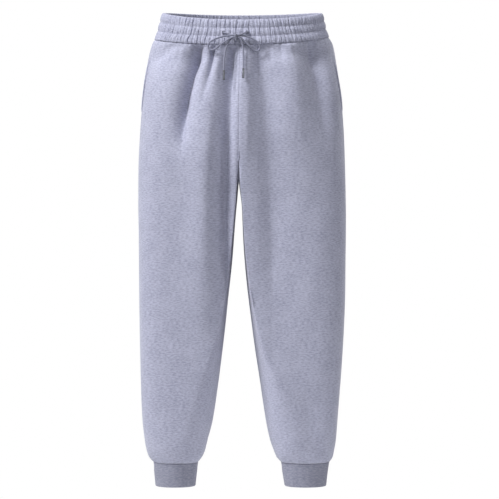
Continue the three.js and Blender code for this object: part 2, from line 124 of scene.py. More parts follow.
class Finish:
    def __init__(self, name, colour, roughness=0.9, **constants):
        self.material = bpy.data.materials.new(name)
        self.material.use_nodes = True
        self.tree = self.material.node_tree
        self.shader = self.tree.nodes["Principled BSDF"]
        self.material.diffuse_color = (*colour, 1)
        self.shader.inputs["Base Color"].default_value = (*colour, 1)
        self.shader.inputs["Roughness"].default_value = roughness
        for socket, value in constants.items():
            self.shader.inputs[socket.replace("_", " ")].default_value = value

    def node(self, kind, settings, inputs, output=0):
        node = self.tree.nodes.new("ShaderNode" + kind)
        stops = settings.pop("stops", None)
        for name, value in settings.items():
            setattr(node, name, value)
        if stops:
            elements = node.color_ramp.elements
            while len(elements) < len(stops):
                elements.new(0.5)
            for element, (place, level) in zip(elements, stops):
                element.position, element.color = place, (level, level, level, 1)
        for name, value in inputs.items():
            if isinstance(value, Wire):
                self.tree.links.new(value.socket, node.inputs[name])
            else:
                node.inputs[name].default_value = value
        return Wire(self, node.outputs[output])

    def coordinates(self, which, scale=(1, 1, 1)):
        source = self.node("TexCoord", {}, {}, which)
        return self.node("Mapping", {}, {"Vector": source, "Scale": scale})

    def noise(self, vector, scale, detail=2.0):
        return self.node("TexNoise", {}, {"Vector": vector, "Scale": scale, "Detail": detail}, "Fac")

    def mix(self, factor, a, b):
        colours = {i: c if isinstance(c, Wire) else (*c, 1) for i, c in ((6, a), (7, b))}
        return self.node("Mix", {"data_type": "RGBA"}, {0: factor, **colours}, 2)

    def set(self, socket, wire):
        self.tree.links.new(wire.socket, self.shader.inputs[socket])

    def bump(self, height, distance, strength=1.0):
        inputs = {"Height": height, "Distance": distance, "Strength": strength}
        self.set("Normal", self.node("Bump", {}, inputs))


fibres = {  # linear colours of the marl, and sizes in metres
    "dark": (0.262, 0.27, 0.37), "mid": (0.372, 0.383, 0.508), "light": (0.51, 0.522, 0.645),
    "flame": (0.0068, 0.0023), "fleck": (0.0017, 0.0009), "patch": 0.03,
    "wale": 0.00115, "course": 0.0009,
}


def marl(name, tint=1.0):  # heather yarn, knitted: flames and flecks along the courses
    dark, mid, light = (tuple(c * tint for c in fibres[k]) for k in ("dark", "mid", "light"))
    finish = Finish(name, mid, 0.93, Sheen_Weight=0.22, Sheen_Roughness=0.55, Specular_IOR_Level=0.25)
    cloth = finish.coordinates("UV")
    flameWide, flameHigh = fibres["flame"]
    fleckWide, fleckHigh = fibres["fleck"]
    flame = finish.noise(finish.coordinates("UV", (1 / flameWide, 1 / flameHigh, 1)), 1, 3)
    fleck = finish.noise(finish.coordinates("UV", (1 / fleckWide, 1 / fleckHigh, 1)), 1, 2)
    patch = finish.noise(finish.coordinates("Object"), 1 / fibres["patch"], 2)
    share = flame * 0.8 + fleck * 0.4 + patch * 0.2 - 0.2
    lights = finish.node("ValToRGB", {"stops": [(0.36, 0), (0.72, 1)]}, {0: share})
    darks = finish.node("ValToRGB", {"stops": [(0.3, 1), (0.56, 0)]}, {0: share})
    colour = finish.mix(lights * 0.85, mid, light)
    colour = finish.mix(darks * 0.8, colour, dark)
    finish.set("Base Color", colour)
    across = finish.node("SeparateXYZ", {}, {0: cloth}, "X")
    along = finish.node("SeparateXYZ", {}, {0: cloth}, "Y")
    wale = (across * (math.pi / fibres["wale"])).sine().size()
    course = (along * (2 * math.pi / fibres["course"]) + wale * 2.2).sine()
    fuzz = finish.noise(finish.coordinates("Object"), 1300, 3)
    finish.bump(wale * 0.5 + course * 0.18 + fuzz * 0.8 + flame * 0.3, 0.00022, 0.8)
    return finish.material


def braid(name):
    look = cordLook
    finish = Finish(name, look["colour"], 0.85, Sheen_Weight=0.15, Specular_IOR_Level=0.3)
    around = finish.node("SeparateXYZ", {}, {0: finish.coordinates("UV")}, "X")
    along = finish.node("SeparateXYZ", {}, {0: finish.coordinates("UV")}, "Y")
    one = (around * look["strands"] + along * (1 / look["pitch"])) * math.pi
    other = (around * look["strands"] - along * (1 / look["pitch"])) * math.pi
    height = one.sine().size().most(other.sine().size())
    yarn = finish.noise(finish.coordinates("UV", (30, 900, 1)), 1, 2)
    # the grooves between the strands take the nearly black gap colour: painted shade, with the strand
    # crests in the cord's own colour
    grooveShade = finish.mix(height ** 2, look["gap"], look["colour"])
    finish.set("Base Color", finish.mix(yarn * 0.5, grooveShade, look["light"]))
    finish.bump(height + yarn * 0.3, 0.0003)
    return finish.material


def thread(name, colour):
    finish = Finish(name, colour, 0.7, Specular_IOR_Level=0.4)
    twist = finish.noise(finish.coordinates("Object", (1, 1, 1)), 2400, 2)
    finish.set("Base Color", finish.mix(twist * 0.6, colour, tuple(c * 1.35 for c in colour)))
    finish.bump(twist, 0.00015)
    return finish.material


def darkMetal(name):
    finish = Finish(name, (0.075, 0.078, 0.092), 0.34, Metallic=1.0)
    rubbed = finish.noise(finish.coordinates("Object", (1, 1, 0.2)), 900, 3)
    finish.set("Base Color", finish.mix(rubbed, (0.05, 0.052, 0.065), (0.13, 0.135, 0.15)))
    finish.set("Roughness", rubbed * 0.25 + 0.22)
    finish.bump(rubbed, 0.00004)
    return finish.material


def palePaint(name):
    finish = Finish(name, (0.86, 0.86, 0.86), 0.8)
    soft = finish.noise(finish.coordinates("Object"), 3, 2)
    finish.set("Base Color", finish.mix(soft, (0.84, 0.84, 0.84), (0.88, 0.88, 0.88)))
    return finish.material


# The garment's form: the same sections, seams and folds as the solids, in millimetres.
waist = {
    "sideTop": 27, "frontDip": 25.5, "backRise": 7, "height": 52, "lean": 2.5, "inside": 4.6,
}
body = {
    "crotchHeight": -333, "frontRiseTop": -256, "backRiseTop": -262,
    "riseCurve": 3.5, "partTop": -110, "partLow": -240, "cornerStart": 0.8,
}
pocket = {"top": -64, "bottom": -206, "gape": 3.2, "lift": 1.6, "liftWidth": 0.14}
cuff = {"top": -923, "hem": -973.5, "thick": 3}
seamGap = 0.3


def table(columns, rows):
    names = columns.split()
    return {name: np.array([row[i] for row in rows], float) for i, name in enumerate(names)}


sections = table("z outRight inRight outLeft inLeft front back seam corner square", [
    (40, 160.5, 0, 168, 0, 90, 91, 0, 0.1, 2.25),
    (13, 167, 0, 174.5, 0, 95.6, 94.5, 0, 0.1, 2.25),
    (-12, 173.5, 0, 180.5, 0, 101, 98.3, 0, 0.1, 2.25),
    (-25, 178.5, 0, 187, 0, 103.4, 100.5, 0, 0.1, 2.25),
    (-38, 186.5, 0, 194.3, 0, 106, 104, 0, 0.1, 2.25),
    (-71, 194.9, 0, 200.7, 0, 113, 114, -1, 0.1, 2.25),
    (-114, 201.2, 0, 207.4, 0, 120, 125, -2, 0.1, 2.75),
    (-156, 205.6, 0, 212.8, 0, 124, 133, -2.6, 0.1, 3.0),
    (-220, 210.7, 0, 217.3, 0, 125, 138, -3.2, 0.1, 3.2),
    (-283, 214.2, 0, 219.7, 0, 121, 134, -3.6, 0.08, 3.4),
    (-333, 214.7, 0.4, 221.2, 0.4, 116, 126, -3.6, 0.045, 3.7),
    (-350, 214.6, 2.3, 221.5, 2.2, 114, 121, -3.4, 0.03, 3.8),
    (-377, 214.6, 5.8, 221.8, 5.2, 111, 115, -2.5, 0.025, 4),
    (-411, 214.2, 10.4, 221.9, 5.9, 108.5, 109, -1.2, 0.025, 4.2),
    (-445, 213.8, 14.5, 221.8, 6.1, 106, 104, 0, 0.025, 4.2),
    (-495, 213.5, 18.5, 221.3, 9.3, 102, 98, 0, 0.035, 4.2),
    (-580, 213.1, 26.6, 220.4, 18.1, 96, 91, 0, 0.07, 4.2),
    (-665, 211.8, 35.4, 216.8, 28.1, 88, 86, 0, 0.2, 4.2),
    (-750, 210.1, 45.9, 211.5, 40.8, 79, 82, 0, 0.5, 3.8),
    (-835, 206.8, 58.6, 205.1, 53.6, 67, 76, 0, 0.78, 3),
    (-877, 202.3, 69.6, 201.9, 62.7, 60, 70, 0, 0.92, 2.5),
    (-898, 198.3, 74.9, 198.3, 70.3, 54, 64, 0, 0.96, 2.2),
    (-912, 193, 81.2, 194.7, 76.5, 48.5, 57, 0, 0.99, 2.03),
    (-923, 185, 89, 189, 85.3, 42.5, 49, 0, 1, 2),
    (-945, 183, 92.2, 184.8, 88.8, 40.5, 46, 0, 1, 2),
    (-973.5, 180, 95.3, 181.6, 93.6, 37.5, 42, 0, 1, 2),
])
outseam = table("z turn", [
    (40, 13), (-120, 14), (-200, 11), (-283, 8), (-420, 6), (-700, 3), (-923, 0),
])
foldColumns = "face x1 z1 x2 z2 x3 z3 left right depth crisp fade"
folds = table(foldColumns, [  # the large ones, which the solids have too
    (1, -83, -48, -103, -120, -121, -300, 20, 14, 34, 1.3, 0.5),
    (1, -53, -50, -64, -110, -88, -195, 10, 9, 9, 1.5, 0.4),
    (1, -9, -52, -25, -240, -28, -600, 26, 9, 20, 1.7, 0.62),
    (1, -29, -420, -31, -560, -44, -740, 26, 9, 16, 1.7, 0.6),
    (1, -55, -120, -69, -360, -62, -660, 38, 20, -20, 2, 0.45),
    (1, 16, -50, 14, -180, 5, -332, 26, 12, -6, 2, 0.6),
    (1, 106, -60, 112, -150, 122, -310, 52, 22, -7, 2, 0.4),
    (1, -138, -46, -160, -68, -190, -92, 18, 14, 4, 2, 0.5),
    (1, 40, -50, 54, -240, 70, -760, 19, 40, 14, 1.6, 0.3),
    (1, 150, -40, 165, -120, 180, -290, 28, 18, 18, 1.6, 0.3),
    (1, 84, -48, 84, -70, 90, -120, 14, 8, 3, 1.6, 0.3),
    (1, 134, -750, 150, -840, 160, -910, 26, 26, 5, 2, 0.9),
    (-1, -48, -22, -66, -140, -92, -330, 20, 16, 15, 1.8, 0.35),
    (-1, -112, -24, -128, -120, -140, -280, 20, 14, 13, 1.8, 0.35),
    (-1, -70, -420, -104, -560, -96, -700, 28, 28, 8, 2, 0.35),
    (-1, 38, -22, 52, -150, 84, -350, 18, 20, 14, 1.8, 0.35),
    (-1, 104, -24, 124, -110, 148, -290, 15, 20, 13, 1.8, 0.35),
    (-1, 82, -430, 108, -590, 100, -720, 28, 28, 8, 2, 0.35),
])
tucks = table(foldColumns, [  # pinched tops of the folds, and small ones between them
    (1, -84, -46, -90, -75, -101, -125, 6, 4, 3, 1.4, 0.3),
    (1, -53, -48, -57, -75, -68, -130, 5, 4, 6, 1.4, 0.3),
    (1, -33, -50, -37, -90, -46, -150, 6, 6, 3, 2, 0.3),
    (1, -12, -52, -14, -80, -18, -150, 11, 4, 8, 1.5, 0.4),
    (1, -126, -47, -128, -70, -134, -100, 4, 4, 1.2, 2, 0.3),
    (1, 34, -51, 36, -90, 39, -160, 8, 5, 6, 1.5, 0.4),
    (1, 62, -50, 64, -70, 68, -100, 5, 4, 1.4, 2, 0.3),
    (1, 108, -47, 112, -62, 116, -90, 4, 4, 1.5, 2, 0.3),
    (1, 145, -41, 150, -60, 158, -120, 8, 5, 5, 1.4, 0.3),
    (-1, -20, -18, -24, -60, -30, -120, 5, 5, 2.5, 2, 0.3),
    (-1, -80, -20, -84, -50, -90, -110, 4.5, 4.5, 3, 2, 0.3),
    (-1, -140, -28, -146, -60, -150, -110, 4.5, 4.5, 2.5, 2, 0.3),
    (-1, 16, -18, 18, -60, 26, -120, 5, 5, 2.5, 2, 0.3),
    (-1, 70, -19, 76, -50, 86, -110, 4.5, 4.5, 3, 2, 0.3),
    (-1, 136, -27, 142, -60, 152, -120, 4.5, 4.5, 3, 2, 0.3),
])


def smooth(t):
    t = np.clip(t, 0, 1)
    return t * t * (3 - 2 * t)


def mix(a, b, t):
    return a + (b - a) * t


def read(rows, column, z):
    zs, values = rows["z"], rows[column]
    after = np.append(np.arange(1, len(zs)), len(zs) - 1)
    before = np.append(0, np.arange(len(zs) - 1))
    slopes = (values[after] - values[before]) / (zs[after] - zs[before])
    i = np.clip(np.searchsorted(-zs, -np.asarray(z, float)) - 1, 0, len(zs) - 2)
    span, rise = zs[i + 1] - zs[i], values[i + 1] - values[i]
    t = (z - zs[i]) / span
    bend = (slopes[i] * (1 - t) - slopes[i + 1] * t) * span * t * (1 - t)
    return values[i] + rise * t + bend - rise * t * (1 - t) * (1 - 2 * t)


def waistTop(turn):
    s = -np.sin(turn)
    tilt = (waist["frontDip"] + waist["backRise"]) / 2
    dish = (waist["backRise"] - waist["frontDip"]) / 2
    return waist["sideTop"] + tilt * s + dish * s * s


def waistSeam(side, turn):
    return waistTop(turn) - waist["height"] + side * waist["lean"] * np.abs(np.cos(turn))


def depthAt(turn, z):
    return np.where(turn > 0, read(sections, "front", z), read(sections, "back", z))


def reaches(side, z):  # how far out and in a side reaches
    out, inner = ("outLeft", "inLeft") if side > 0 else ("outRight", "inRight")
    return read(sections, out, z), np.maximum(read(sections, inner, z), 0)


def aside(x, out, z):  # the centre seam stands a little to one side
    return x + read(sections, "seam", z) * (1 - np.abs(x) / out)


def hipPoint(side, turn, z):
    power = 2 / read(sections, "square", z)
    out, _ = reaches(side, z)
    x = aside(side * out * np.abs(np.cos(turn)) ** power, out, z)
    y = -np.sign(turn) * depthAt(turn, z) * np.abs(np.sin(turn)) ** power
    return np.stack([x, y, z + 0 * turn], -1)


def anklePoint(side, turn, z):  # a plain oval, for the cuffs
    out, inner = reaches(side, z)
    x = side * ((out + inner) / 2 + (out - inner) / 2 * np.cos(turn))
    return np.stack([x, -depthAt(turn, z) * np.sin(turn), z + 0 * turn], -1)


def prominence(face, u, z):  # 1 over the front or back, less where the cloth turns in to the seam
    top = body["frontRiseTop"] if face > 0 else body["backRiseTop"]
    s = np.clip((top - z) / (top - body["crotchHeight"]), 0, 1)
    rise = (1 - s ** body["riseCurve"]) ** (1 / body["riseCurve"])
    bend = math.pi / 2 * np.clip((1 - u) / (1 - body["cornerStart"]), 0, 1)
    return mix(rise, 1, np.sin(bend)), np.cos(bend)


def turnAt(face, share, z):  # equal shares are about equal widths of cloth, however square the section
    seam = np.radians(read(outseam, "turn", z))
    return mix(face * math.pi / 2, seam, share ** (read(sections, "square", z) / 2))


def legPoint(side, face, u, z):  # rounded outer part, then a corner where the cloth turns to the seam
    out, inner = reaches(side, z)
    corner = read(sections, "corner", z) * (out - inner) / 2
    power = 2 / read(sections, "square", z)
    forward, inward = prominence(face, u, z)
    turn = turnAt(face, np.clip(1 - u / body["cornerStart"], 0, 1), z)
    outer = u < body["cornerStart"]
    x = np.where(outer, inner + corner + (out - inner - corner) * np.abs(np.cos(turn)) ** power,
                 inner + corner * (1 - inward))
    y = np.where(outer, np.sign(turn) * depthAt(turn, z) * np.abs(np.sin(turn)) ** power,
                 face * depthAt(turn, z) * forward)
    return np.stack([aside(side * x, out, z), -y, z + 0 * u], -1)


def plainCloth(side, face, u, z):
    hip = hipPoint(side, turnAt(face, 1 - u, z), z)
    parted = smooth((body["partTop"] - z) / (body["partTop"] - body["partLow"]))
    return hip + (legPoint(side, face, u, z) - hip) * parted[..., None]


def troughs(rows, face, x, z):
    sunk = np.zeros_like(x)
    for face_, x1, z1, x2, z2, x3, z3, left, right, depth, crisp, fade in zip(*rows.values()):
        if face_ != face:
            continue
        a, b, c = z - z1, z - z2, z - z3
        centre = (x1 * b * c / ((z1 - z2) * (z1 - z3)) + x2 * a * c / ((z2 - z1) * (z2 - z3))
                  + x3 * a * b / ((z3 - z1) * (z3 - z2)))
        along = np.clip((z1 - z) / (z1 - z3), 0, 1)
        hangs = z1 > body["partTop"]  # from the waist seam; the others start softly lower down
        start = mix(0.5, 1, smooth(along * 8)) if hangs else smooth(along * 3)
        width = np.where(x < centre, left, right) * (start if hangs else 1)
        reach = np.abs(x - centre) / width
        end = 1 - smooth((along - fade) / (1 - fade))
        sunk += depth * start * end * np.exp(-reach ** crisp)
    return sunk


def gridMesh(name, points, closed=(False, False), uv=None):  # points: rows x columns x 3, metres
    rows, columns = points.shape[:2]
    bm = bmesh.new()
    acrossSpans, alongSpans = columns - 1 + closed[0], rows - 1 + closed[1]
    bmesh.ops.create_grid(bm, x_segments=acrossSpans, y_segments=alongSpans, size=1)
    layer = bm.loops.layers.uv.new("cloth")
    places = {}
    for vert in bm.verts:
        i = round((vert.co.x + 1) / 2 * acrossSpans)
        j = round((vert.co.y + 1) / 2 * alongSpans)
        places[vert.index] = (j, i)
    if uv is not None:
        for f in bm.faces:
            for loop in f.loops:
                loop[layer].uv = uv[places[loop.vert.index]]
    for vert in bm.verts:
        j, i = places[vert.index]
        vert.co = points[j % rows, i % columns]
    if any(closed):
        bmesh.ops.remove_doubles(bm, verts=bm.verts, dist=1e-7)
    bmesh.ops.recalc_face_normals(bm, faces=bm.faces)
    return makePiece(name, bm)


def makePiece(name, bm, smoothFaces=True):
    mesh = bpy.data.meshes.new(name)
    bm.to_mesh(mesh)
    bm.free()
    if smoothFaces:
        mesh.shade_smooth()
    piece = bpy.data.objects.new(name, mesh)
    scene.collection.objects.link(piece)
    return piece


def dress(piece, material, slot, *nodes):
    piece.data.materials.append(material)
    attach(piece, "root")
    if nodes:
        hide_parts(*nodes)
    return piece


def wrinkle(x, y, seed=0.0):  # slow unevenness from a few sines, about -1 to 1
    return (np.sin(x + 1.7 * np.sin(y * 0.63 + seed) + seed)
            + np.sin(x * 2.3 - y * 0.9 + 2.1 * seed) * 0.6
            + np.sin(x * 4.1 + y * 2.2 + 3.7 * seed) * 0.35) / 1.6


def stitchRow(bm, line, outward, look):
    steps = np.linalg.norm(np.diff(line, axis=0), axis=1)
    run = np.append(0, np.cumsum(steps))
    pitch = look["length"] + look["gap"]
    count = int(run[-1] / pitch)
    for first in range(0, count, 24):  # a few at a time, which is quicker
        few = bmesh.new()
        for k in range(first, min(first + 24, count)):
            ends = [(k + share) * pitch for share in (0.08, 0.08 + look["length"] / pitch)]
            a, b = (Vector([np.interp(e, run, line[:, axis]) for axis in range(3)]) for e in ends)
            up = Vector([np.interp(ends[0], run, outward[:, axis]) for axis in range(3)]).normalized()
            along = (b - a).normalized()
            across = along.cross(up).normalized()
            turned = Matrix((across, along, across.cross(along))).transposed().to_4x4()
            size = Matrix.Diagonal((look["radius"], (b - a).length / 2, look["radius"] * 0.75, 1))
            middle = Matrix.Translation((a + b) / 2 + up * look["lift"])
            bmesh.ops.create_uvsphere(few, u_segments=6, v_segments=4, radius=1,
                                      matrix=middle @ turned @ size)
        batch = bpy.data.meshes.new("batch")
        few.to_mesh(batch)
        few.free()
        bm.from_mesh(batch)
        bpy.data.meshes.remove(batch)


stitchLook = {"length": 2.6 * mm, "gap": 0.7 * mm, "radius": 0.32 * mm, "lift": 0.1 * mm}


cordLook = {
    "diameter": 3.8, "around": 16, "step": 0.7, "relief": 0.22, "strands": 6, "pitch": 0.0052,
    # gap is the colour painted into the braid's grooves as painted shade
    "colour": (0.24, 0.25, 0.34), "gap": (0.07, 0.07, 0.11), "light": (0.36, 0.37, 0.47),
}
cordRoutes = {
    "right": [
        (-34, -107.1, -26), (-33.2, -112, -26.6), (-27, -115.4, -29), (-19, -116.4, -32.4),
        (-10, -116.4, -33.2), (-1, -116.2, -33.4), (10, -115.7, -34.4), (21, -115.6, -37.8),
        (31, -115.2, -43), (38.5, -115.2, -50), (41, -114, -58.5), (35.5, -113, -65),
        (26.5, -114.2, -62.5), (17.5, -116.6, -54), (8, -117.6, -44.4), (-1, -116.6, -37.8),
        (-10, -116.4, -37.4), (-17, -116.8, -38.8), (-22, -117.8, -44), (-27, -118.6, -54),
        (-31, -119.6, -68), (-33, -121.2, -86), (-33.4, -123, -105),
    ],
    "left": [
        (14, -108, -26), (13.2, -113, -26.6), (8, -117.4, -28.5), (0, -120.2, -32),
        (-10, -120.6, -33.2), (-20, -120.2, -33.4), (-31, -118, -34.4), (-43, -116, -37.4),
        (-54, -114.6, -41.2), (-63, -113.4, -47.5), (-66, -112.4, -56), (-60.5, -112.8, -62.5),
        (-51, -115.4, -60.5), (-42, -118.8, -53), (-31, -120.8, -46), (-20, -121, -39.3),
        (-10, -120.6, -37.4), (-3, -120.8, -38.6), (2, -120.8, -43.5), (5, -121.2, -54),
        (6.4, -123, -70), (6.8, -126, -88), (6.6, -128.6, -102),
    ],
}
knotLook = {"centre": (-10, -118.5, -35.3), "radius": 7.1, "slant": 2.2, "overlap": 0.15}


def smoothRoute(route, step):  # centripetal curve through the points, then evenly spaced
    p = np.array(route, float)
    p = np.vstack([2 * p[0] - p[1], p, 2 * p[-1] - p[-2]])
    dense = []
    for k in range(1, len(p) - 2):
        a, b, c, d = p[k - 1:k + 3]
        t1 = np.linalg.norm(b - a) ** 0.5
        t2 = t1 + np.linalg.norm(c - b) ** 0.5
        t3 = t2 + np.linalg.norm(d - c) ** 0.5
        t = np.linspace(t1, t2, 24, endpoint=False)[:, None]
        ab = mix(a, b, t / t1)
        bc = mix(b, c, (t - t1) / (t2 - t1))
        cd = mix(c, d, (t - t2) / (t3 - t2))
        abc = mix(ab, bc, t / t2)
        bcd = mix(bc, cd, (t - t1) / (t3 - t1))
        dense.append(mix(abc, bcd, (t - t1) / (t2 - t1)))
    dense = np.vstack([*dense, p[-2:-1]])
    run = np.append(0, np.cumsum(np.linalg.norm(np.diff(dense, axis=0), axis=1)))
    even = np.linspace(0, run[-1], max(2, round(run[-1] / step)))
    return np.stack([np.interp(even, run, dense[:, axis]) for axis in range(3)], -1), run[-1]


def cordPiece(name, route):
    path, length = smoothRoute(route, cordLook["step"])
    tangents = np.gradient(path, axis=0)
    tangents /= np.linalg.norm(tangents, axis=1)[:, None]
    normal = Vector((0, 0, 1)).cross(Vector(tangents[0])).normalized()
    rings, uv = [], []
    turns = np.linspace(0, 2 * math.pi, cordLook["around"] + 1)
    for k, (point, tangent) in enumerate(zip(path, tangents)):
        tangent = Vector(tangent)
        normal = (normal - tangent * normal.dot(tangent)).normalized()  # carried along untwisted
        other = tangent.cross(normal)
        along = k * length * mm / (len(path) - 1)
        phase = along / cordLook["pitch"] * math.pi
        strand = turns / (2 * math.pi) * cordLook["strands"] * math.pi
        height = np.maximum(np.abs(np.sin(strand + phase)), np.abs(np.sin(strand - phase)))
        radius = cordLook["diameter"] / 2 + cordLook["relief"] * (height - 1)
        shape = point + np.outer(np.cos(turns) * radius, normal) + np.outer(np.sin(turns) * radius, other)
        rings.append(shape[:-1])
        uv.append([(t / (2 * math.pi), along) for t in turns])
    piece = gridMesh(name, np.array(rings) * mm, closed=(True, False), uv=np.array(uv))
    bm = bmesh.new()
    bm.from_mesh(piece.data)
    bmesh.ops.holes_fill(bm, edges=[e for e in bm.edges if e.is_boundary], sides=0)
    bm.to_mesh(piece.data)
    bm.free()
    piece.data.shade_smooth()
    return piece, path * mm, length * mm


agletLook = {"length": 20, "radius": 2.3, "lip": 0.5, "crimped": (0.16, 0.22, 0.28, 0.34), "waist": 0.84}
eyeletLook = {
    "radius": 3.2, "rim": 0.85, "tilt": 11, "threads": 44, "threadRadius": 0.3,
    "lean": 0.25, "uneven": 0.25,
}


def agletPiece(name, end, before):
    down = (Vector(end) - Vector(before)).normalized()
    bm = bmesh.new()
    length, radius, lip = (agletLook[k] for k in ("length", "radius", "lip"))
    bmesh.ops.create_cone(bm, segments=24, radius1=radius, radius2=radius, depth=length, cap_ends=True)
    bmesh.ops.bevel(bm, geom=[e for e in bm.edges if abs(e.verts[0].co.z - e.verts[1].co.z) < 1e-6],
                    affect="EDGES", offset=lip, segments=3, profile=0.5, material=-1)
    bmesh.ops.translate(bm, verts=bm.verts, vec=(0, 0, length / 2))
    bands = agletLook["crimped"]
    for share in bands:  # a crimp pressed in near the mouth
        bmesh.ops.bisect_plane(bm, geom=[*bm.verts, *bm.edges, *bm.faces],
                               plane_co=(0, 0, length * share), plane_no=(0, 0, 1))
    for v in bm.verts:
        if any(abs(v.co.z - length * share) < 1e-4 for share in bands[1:3]):
            v.co.x, v.co.y = v.co.x * agletLook["waist"], v.co.y * agletLook["waist"]
    turn = Vector((0, 0, 1)).rotation_difference(down).to_matrix().to_4x4()
    place = Matrix.Translation(Vector(end) + down * seamGap)
    bmesh.ops.transform(bm, matrix=Matrix.Scale(mm, 4) @ place @ turn, verts=bm.verts)
    return makePiece(name, bm)


def eyeletPiece(name, centre):  # overcast stitches round a hole
    bm = bmesh.new()
    look = eyeletLook
    ring, rim = look["radius"], look["rim"]
    tilt = Matrix.Rotation(math.radians(90 - look["tilt"]), 4, "X")
    for k in range(look["threads"]):
        uneven = look["uneven"] * math.sin(k * 2.7)
        turn = Matrix.Rotation(2 * math.pi * (k + uneven) / look["threads"], 4, "Z")
        lean = Matrix.Translation((ring, 0, 0)) @ Matrix.Rotation(look["lean"], 4, "Z")
        size = Matrix.Diagonal((rim * 1.25, look["threadRadius"], rim * 0.9, 1))
        place = Matrix.Translation(centre) @ tilt @ turn @ lean @ size
        bmesh.ops.create_uvsphere(bm, u_segments=8, v_segments=6, radius=1,
                                  matrix=Matrix.Scale(mm, 4) @ place)
    return makePiece(name, bm)


def tieDrawstring():
    corded, metal = braid("braidedCord"), darkMetal("darkMetal")
    rimThread = thread("eyeletThread", (0.16, 0.165, 0.22))
    x, y, z = knotLook["centre"]
    turns = np.linspace(-knotLook["overlap"], 2 * math.pi + knotLook["overlap"], 20)
    wrap = [(x + knotLook["slant"] * (t / math.pi - 1), y + knotLook["radius"] * math.cos(t) * 0.98,
             z + knotLook["radius"] * math.sin(t)) for t in turns]
    knot, _, _ = cordPiece("bowKnot", wrap)
    dress(knot, corded, "cord", "bow_knot")
    for name, route in cordRoutes.items():
        piece, path, length = cordPiece("drawcord" + name.title(), route)
        dress(piece, corded, "cord", "drawcord_" + name)
        tip = agletPiece("aglet" + name.title(), route[-1], route[-2])
        dress(tip, metal, "tips", "aglet_" + name)
        dress(eyeletPiece("eyelet" + name.title(), route[0]), rimThread, "eyelets", "eyelet_" + name)
        print("drawcord", name, round(length * 1000), "mm")


setUpStudio()
tieDrawstring()


panelLook = {
    "front": (170, 190), "back": (112, 160), "thick": 2.0,
    "frontCut": (0.33, 0.92, 0.254), "backCut": (0.4, 0.94, 0.308),  # width, height, area, metres
    "seamDip": 0.7, "seamWide": 2.2,
    "waistPucker": 0.9, "waistPitch": 12.5, "waistFade": 30,
    "cuffPucker": 1.5, "cuffPitch": 11.5, "cuffFade": 30,
    "unevenness": 1.1, "tuckFade": 6,  # the folds' tops tuck up under the waistband
}


topRows = (-50, -51.2, -52.6, -54.2)  # close ones, under the waist seam
crotchRows = {"high": 36, "crowding": 1.4}  # closer towards the crotch, where the seam curves most


def arcLengths(points):
    steps = np.linalg.norm(np.diff(points, axis=1), axis=-1)
    return np.concatenate([np.zeros((len(points), 1)), np.cumsum(steps, axis=1)], axis=1)


def seamDip(distance):
    return panelLook["seamDip"] * np.exp(-(distance / panelLook["seamWide"]) ** 2)


def panelPoints(side, face, columns, rows):
    u = np.linspace(0, 1, columns + 1)[None, :]
    low, crotch = cuff["top"] + seamGap / 2, body["crotchHeight"]
    level = np.concatenate([
        topRows,
        np.linspace(-56, crotch + crotchRows["high"], round(rows * 0.3), endpoint=False),
        crotch + crotchRows["high"] * np.linspace(1, 0, round(rows * 0.14)) ** crotchRows["crowding"],
        np.linspace(crotch, low, round(rows * 0.56) + 1)[1:],
    ])[:, None]
    top = waistSeam(side, turnAt(face, 1 - u, 0 * u)) - seamGap / 2
    fade = 1 - smooth((topRows[0] - level) / 130)  # lower down the rows run level
    z = level + (top - topRows[0]) * fade
    u = u + 0 * z
    point = plainCloth(side, face, u, z)
    across, down = np.gradient(point, axis=1), np.gradient(point, axis=0)
    normal = np.cross(across, down) * side * face
    normal[:, -1, 0] = 0  # along the centre seam, cloth moves with the other side's
    normal[z[:, -1] < crotch + 0.1, -1] = (-side, 0, 0)
    normal /= np.linalg.norm(normal, axis=-1)[..., None]
    arc = arcLengths(point)
    fromOut, fromIn = arc, arc[:, -1:] - arc
    below, above = top - z, z - cuff["top"]

    look, seed = panelLook, side * 1.3 + face * 2.1
    share = (z - pocket["bottom"]) / (pocket["top"] - pocket["bottom"])
    inside = (share > 0) & (share < 1) & (face > 0)
    opened = np.where(inside, np.sin(math.pi * np.clip(share, 0, 1)) ** 0.5, 0)
    lift = opened * pocket["lift"] * (1 - smooth(u / pocket["liftWidth"]))
    depth = troughs(folds, face, point[..., 0], z) + troughs(tucks, face, point[..., 0], z)
    depth *= prominence(face, u, z)[0] * mix(0.06, 1, smooth(below / look["tuckFade"]))

    dip = seamDip(fromOut) * (1 - opened) + seamDip(fromIn) + seamDip(below) + seamDip(above)
    ripple = np.abs(np.sin(math.pi * arc / look["waistPitch"] + 1.4 * wrinkle(arc / 40, z / 60, seed)))
    dip += look["waistPucker"] * (1 - ripple) ** 1.3 * np.exp(-below / look["waistFade"])
    ripple = np.abs(np.sin(math.pi * arc / look["cuffPitch"] + 1.5 * wrinkle(arc / 30, z / 50, seed)))
    puff = smooth(above / 8)
    dip += look["cuffPucker"] * (0.35 - ripple) * np.exp(-above / look["cuffFade"]) * puff
    hush = 1 - np.exp(-(np.minimum(fromOut, fromIn) / 12) ** 2)
    dip += look["unevenness"] * wrinkle(arc / 42, z / 95, seed) * hush * smooth(below / 40)

    push = normal * np.where(u[..., None] > body["cornerStart"], (0, 1, 1), (1, 1, 1))
    push /= np.maximum(np.linalg.norm(push, axis=-1), 0.01)[..., None]
    point = point + normal * (lift - dip)[..., None] - push * depth[..., None]
    point[:, 0, 1] -= opened[:, 0] * pocket["gape"] * face
    point[..., 0] += side * seamGap / 2
    point[..., 1] -= face * seamGap / 2
    uv = np.stack([arc - arc[:, columns // 2][:, None], z], -1) * mm
    return point * mm, uv, normal


